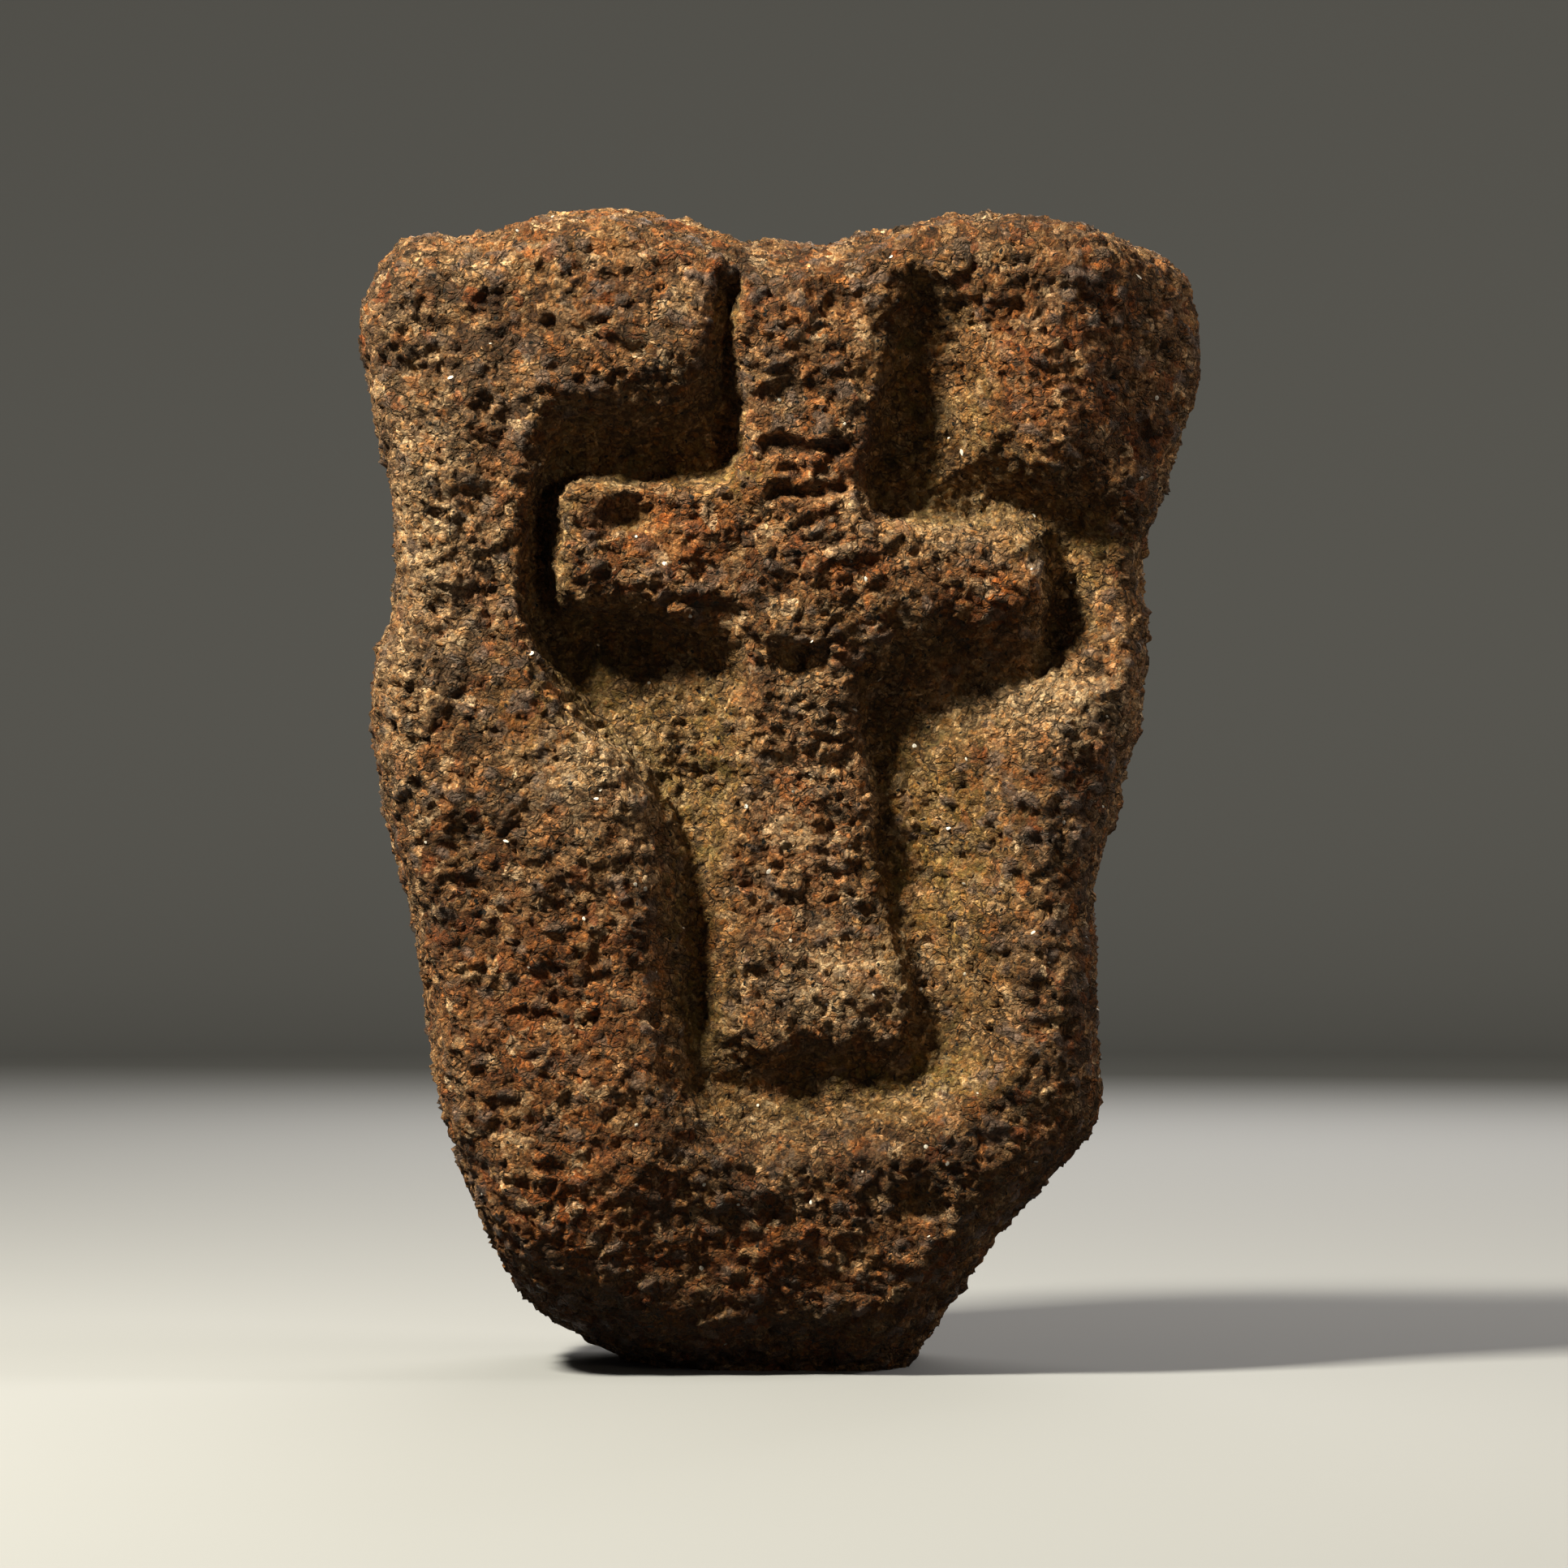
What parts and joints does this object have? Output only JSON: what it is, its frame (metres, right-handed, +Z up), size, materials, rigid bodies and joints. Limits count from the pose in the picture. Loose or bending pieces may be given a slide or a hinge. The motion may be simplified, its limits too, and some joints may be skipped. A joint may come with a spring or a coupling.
{
  "type": "waymark stone",
  "caption": "Rough tapering block of granite with a Latin cross left standing in a field sunk into its front; stands on a small flat cut foot.",
  "frame": {"origin": "on the ground, under the middle of the stone's box", "axes": "+Z up along the height; the carved front faces -Y; +X is to the right as seen from the front"},
  "size_m": [0.375, 0.19, 0.517],
  "materials": {
    "granite": "matte"
  },
  "bodies": {
    "root": {"waymark_stone": "granite"}
  },
  "joints": []
}
